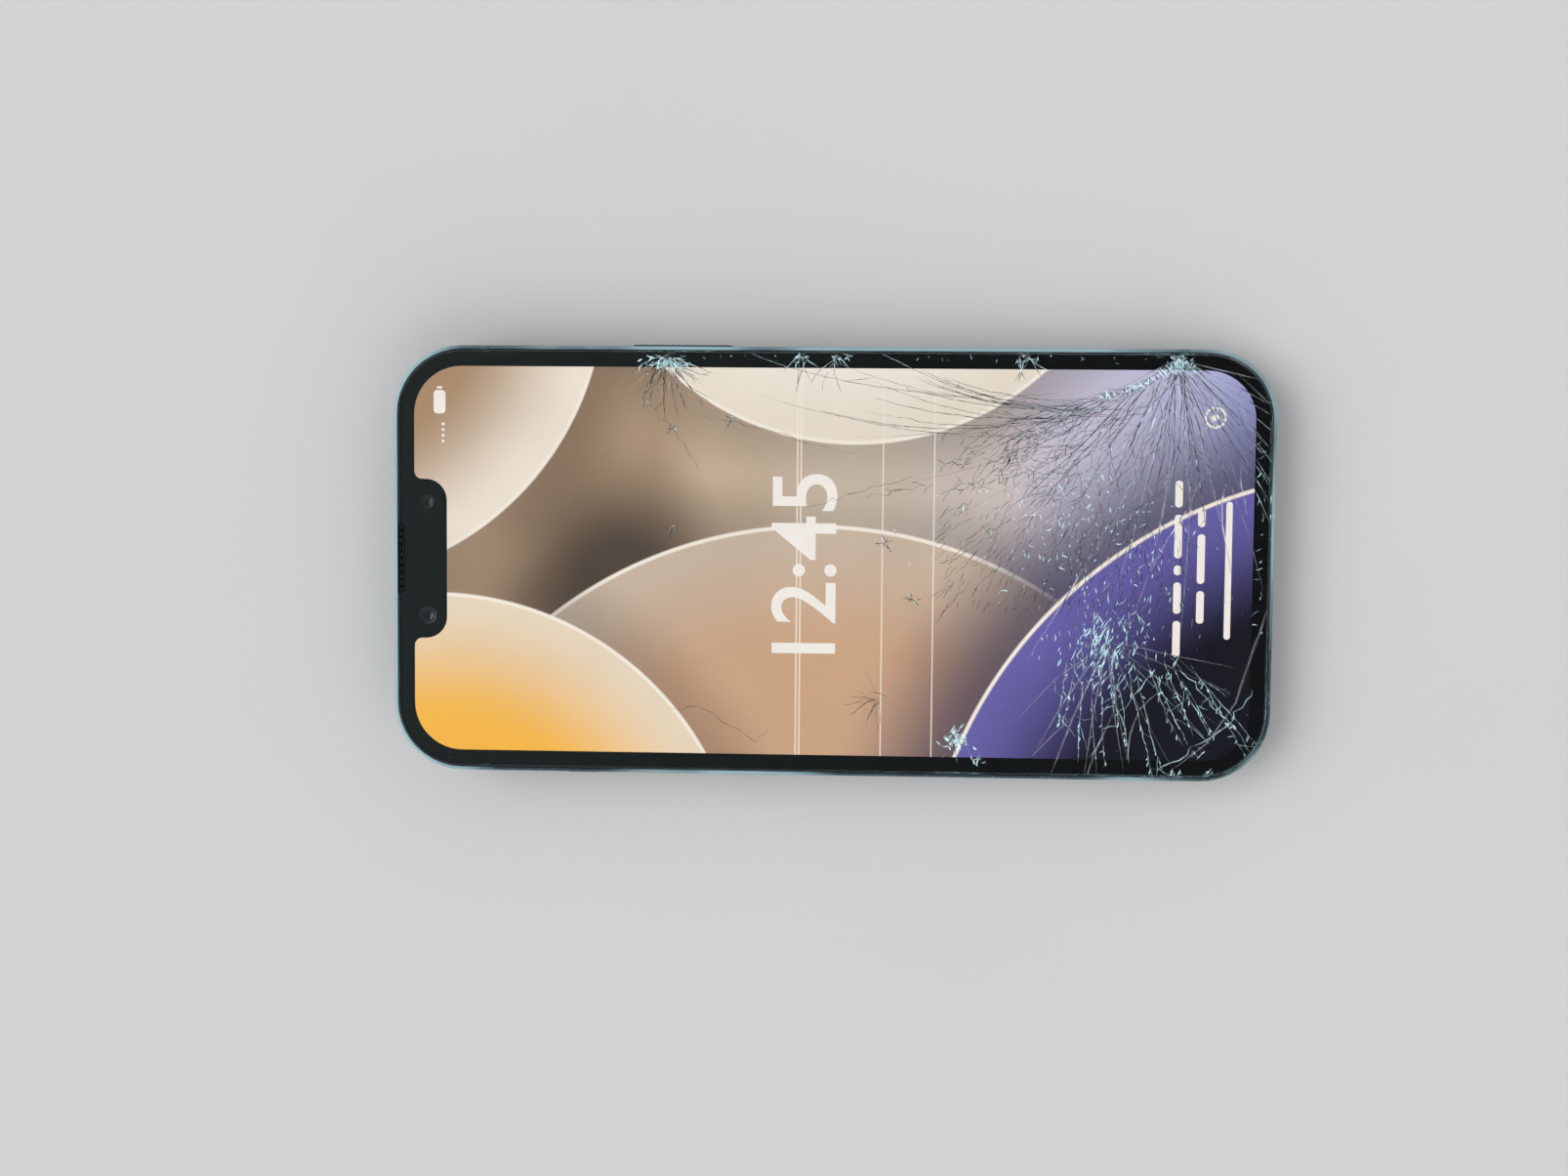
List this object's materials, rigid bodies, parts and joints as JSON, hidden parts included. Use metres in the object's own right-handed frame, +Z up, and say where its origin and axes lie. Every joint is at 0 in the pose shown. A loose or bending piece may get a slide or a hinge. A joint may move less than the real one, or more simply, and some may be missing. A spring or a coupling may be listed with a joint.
{
  "type": "smartphone with a shattered screen",
  "caption": "Flat-sided notched smartphone lying on its back, its cover glass shattered from one edge but still in place, with side keys, a ring switch and a card tray that pulls out.",
  "frame": {"origin": "on the table, under the centre of the phone's bounding box", "axes": "+X to the phone's right as its screen is read, +Y towards its top end, +Z up out of the screen; the phone lies on its back, tipped by about one and a quarter degrees onto its lower camera ring and its bottom edge"},
  "size_m": [0.0722, 0.1468, 0.011],
  "materials": {
    "anodised_band": "dark blue-black anodised, satin, scuffed at the edges",
    "cover_glass": "clear, gloss, cracked and chipped",
    "rear_glass": "dark, gloss, coated inside",
    "display_film": "lit picture under a smooth film",
    "split_plastic": "smooth, satin",
    "black_rubber": "matte",
    "glue_tape": "matte foam tape",
    "lens_glass": "clear, gloss",
    "black_metal": "black, satin",
    "steel": "satin",
    "copper": "lacquered copper winding",
    "circuit_board": "solder resist, satin",
    "battery_foil": "laminated foil, satin",
    "black_plastic": "moulded, fine texture",
    "amber_film": "thin film, gloss",
    "flash_yellow": "pale yellow, prismatic"
  },
  "bodies": {
    "chassis": {"metal_frame": "anodised_band", "antenna_split_upper_right": "split_plastic", "antenna_split_lower_right": "split_plastic", "antenna_split_upper_left": "split_plastic", "antenna_split_lower_left": "split_plastic", "front_glass": "cover_glass", "display_panel": "display_film", "display_seal": "black_rubber", "back_glass": "rear_glass", "back_adhesive": "glue_tape", "main_camera_ring": "anodised_band", "main_camera_window": "lens_glass", "main_camera": "black_metal", "wide_camera_ring": "anodised_band", "wide_camera_window": "lens_glass", "wide_camera": "black_metal", "flash_window": "flash_yellow", "flash_lamp": "flash_yellow", "rear_microphone": "steel", "side_button_switch": "steel", "volume_up_switch": "steel", "volume_down_switch": "steel", "ring_switch_bracket": "steel", "sim_reader": "steel", "battery": "battery_foil", "battery_flex": "amber_film", "logic_board": "circuit_board", "shield_can_upper": "steel", "shield_can_lower": "steel", "display_flex": "amber_film", "charging_coil": "copper", "haptic_motor": "steel", "loudspeaker": "black_plastic", "bottom_microphone": "steel", "charge_port": "steel", "port_tongue": "black_plastic", "bottom_screw_left": "steel", "bottom_screw_right": "steel", "earpiece_speaker": "black_plastic", "earpiece_mesh": "black_metal", "front_camera": "black_metal", "face_sensor": "black_metal"},
    "side_button": {"side_button": "anodised_band"},
    "volume_up_button": {"volume_up_button": "anodised_band"},
    "volume_down_button": {"volume_down_button": "anodised_band"},
    "ring_switch": {"ring_switch": "anodised_band"},
    "sim_tray": {"sim_tray": "anodised_band"}
  },
  "joints": [
    {"name": "side_button_press", "type": "slide", "parent": "chassis", "child": "side_button", "axis": [-1, 0, 0], "range_m": [0, 0.0003], "stiffness_N_per_m": 4000, "springref_m": -0.00015},
    {"name": "volume_up_press", "type": "slide", "parent": "chassis", "child": "volume_up_button", "axis": [1, 0, 0], "range_m": [0, 0.0003], "stiffness_N_per_m": 4000, "springref_m": -0.00015},
    {"name": "volume_down_press", "type": "slide", "parent": "chassis", "child": "volume_down_button", "axis": [1, 0, 0], "range_m": [0, 0.0003], "stiffness_N_per_m": 4000, "springref_m": -0.00015},
    {"name": "ring_switch_slide", "type": "slide", "parent": "chassis", "child": "ring_switch", "axis": [0, 0.0218, -0.9998], "range_m": [0, 0.0011]},
    {"name": "sim_tray_slide", "type": "slide", "parent": "chassis", "child": "sim_tray", "axis": [-1, 0, 0], "range_m": [0, 0.019]}
  ]
}
